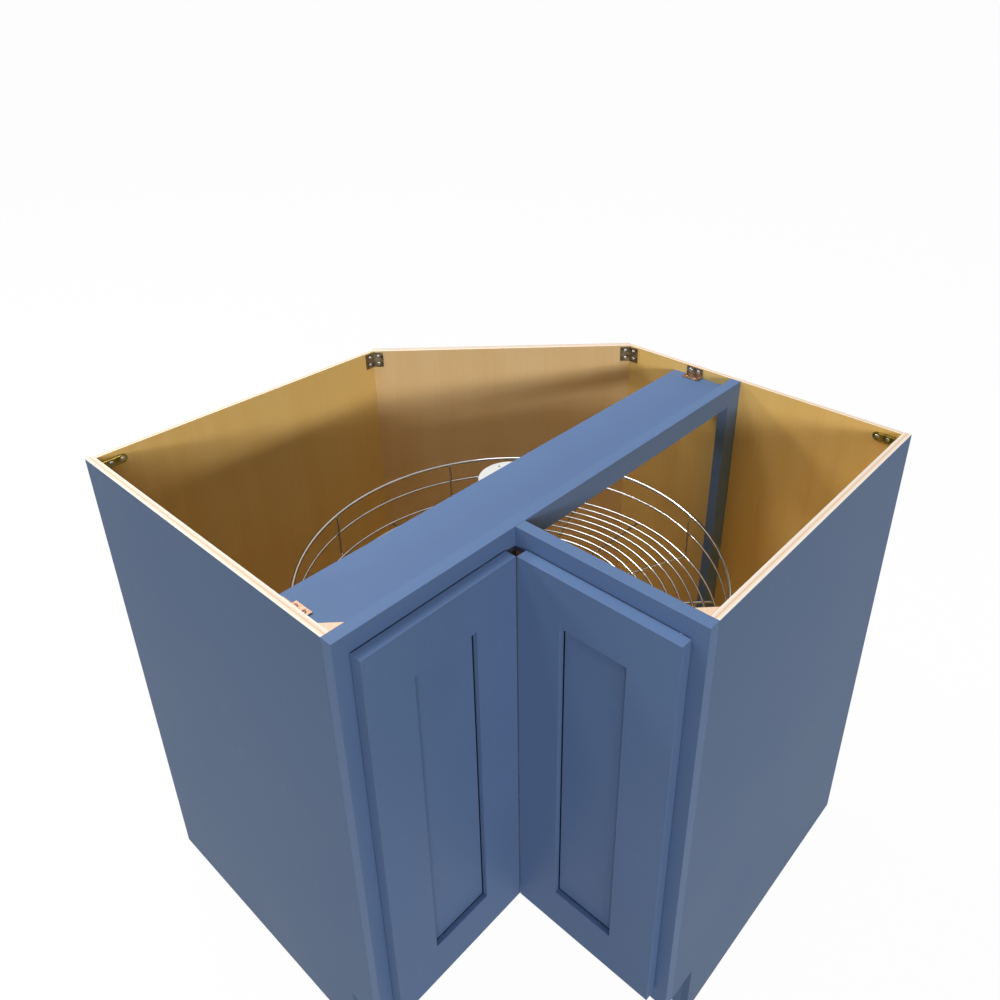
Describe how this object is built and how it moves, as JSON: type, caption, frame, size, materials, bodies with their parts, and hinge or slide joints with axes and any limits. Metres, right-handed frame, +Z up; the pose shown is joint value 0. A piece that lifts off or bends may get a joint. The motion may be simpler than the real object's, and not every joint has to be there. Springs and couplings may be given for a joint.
{
  "type": "corner carousel cabinet",
  "caption": "Five-sided kitchen corner base cabinet with folding framed doors and kidney-shaped wire trays that turn on a central pole, open at the top for a worktop.",
  "frame": {"origin": "floor level, under the middle of the square that the cabinet fills; the room corner is at -X, +Y", "axes": "+Z up; +Y towards the room wall behind the right part, -X towards the room wall behind the left part; the doors face +X and -Y"},
  "size_m": [0.9144, 0.9144, 0.8763],
  "materials": {
    "blue_paint": "satin blue paint on wood",
    "maple_plywood": "clear-coated maple plywood",
    "yellow_zinc": "yellow zinc plating",
    "nickel_steel": "nickel plating",
    "chromed_wire": "bright chrome",
    "white_plastic": "moulded white plastic",
    "clear_rubber": "soft clear rubber"
  },
  "bodies": {
    "cabinet": {"left_side_panel": "blue_paint", "right_side_panel": "blue_paint", "left_back_panel": "maple_plywood", "diagonal_back_panel": "maple_plywood", "right_back_panel": "maple_plywood", "main_floor": "maple_plywood", "right_floor": "maple_plywood", "left_toe_board": "blue_paint", "right_toe_board": "blue_paint", "left_outer_stile": "blue_paint", "wall_stile": "blue_paint", "left_top_rail": "blue_paint", "left_bottom_rail": "blue_paint", "right_outer_stile": "blue_paint", "right_top_rail": "blue_paint", "right_bottom_rail": "blue_paint", "top_stretcher": "blue_paint", "corner_blocks": "maple_plywood", "corner_braces": "yellow_zinc", "back_corner_brackets": "yellow_zinc", "stretcher_brackets": "yellow_zinc", "bracket_screws": "nickel_steel", "centre_pole": "chromed_wire", "top_bearing_flange": "white_plastic", "floor_bearing_plate": "white_plastic", "flange_screws": "nickel_steel", "upper_collar": "nickel_steel", "lower_collar": "nickel_steel", "hinge_mounting_plates": "nickel_steel"},
    "left_door": {"left_door_outer_stile": "blue_paint", "left_door_corner_stile": "blue_paint", "left_door_top_rail": "blue_paint", "left_door_bottom_rail": "blue_paint", "left_door_panel": "blue_paint", "frame_hinge_cups": "nickel_steel", "fold_hinge_plates": "nickel_steel", "left_door_bumpers": "clear_rubber"},
    "right_door": {"right_door_outer_stile": "blue_paint", "right_door_corner_stile": "blue_paint", "right_door_top_rail": "blue_paint", "right_door_bottom_rail": "blue_paint", "right_door_panel": "blue_paint", "fold_hinge_cups": "nickel_steel", "right_door_bumpers": "clear_rubber"},
    "upper_tray": {"upper_hub": "white_plastic", "upper_rim": "chromed_wire", "upper_mid_hoop": "chromed_wire", "upper_floor_hoop": "chromed_wire", "upper_floor_rings": "chromed_wire", "upper_spokes": "chromed_wire", "upper_posts": "chromed_wire"},
    "lower_tray": {"lower_hub": "white_plastic", "lower_rim": "chromed_wire", "lower_mid_hoop": "chromed_wire", "lower_floor_hoop": "chromed_wire", "lower_floor_rings": "chromed_wire", "lower_spokes": "chromed_wire", "lower_posts": "chromed_wire"}
  },
  "joints": [
    {"name": "door_swing", "type": "hinge", "parent": "cabinet", "child": "left_door", "pos_m": [0.17345, -0.4352, 0.4943], "axis": [0, 0, -1], "range_deg": [0, 150]},
    {"name": "door_fold", "type": "hinge", "parent": "left_door", "child": "right_door", "pos_m": [0.17345, -0.17345, 0.4943], "axis": [0, 0, 1], "range_deg": [0, 90]},
    {"name": "upper_tray_turn", "type": "hinge", "parent": "cabinet", "child": "upper_tray", "pos_m": [0.0228, -0.0228, 0.581], "axis": [0, 0, 1], "range_deg": [-6.6, 13.4]},
    {"name": "lower_tray_turn", "type": "hinge", "parent": "cabinet", "child": "lower_tray", "pos_m": [0.0228, -0.0228, 0.226], "axis": [0, 0, 1], "range_deg": [-10, 10]}
  ],
  "couplings": [
    {"joint": "door_fold", "follows": "door_swing", "ratio": 0.6}
  ]
}
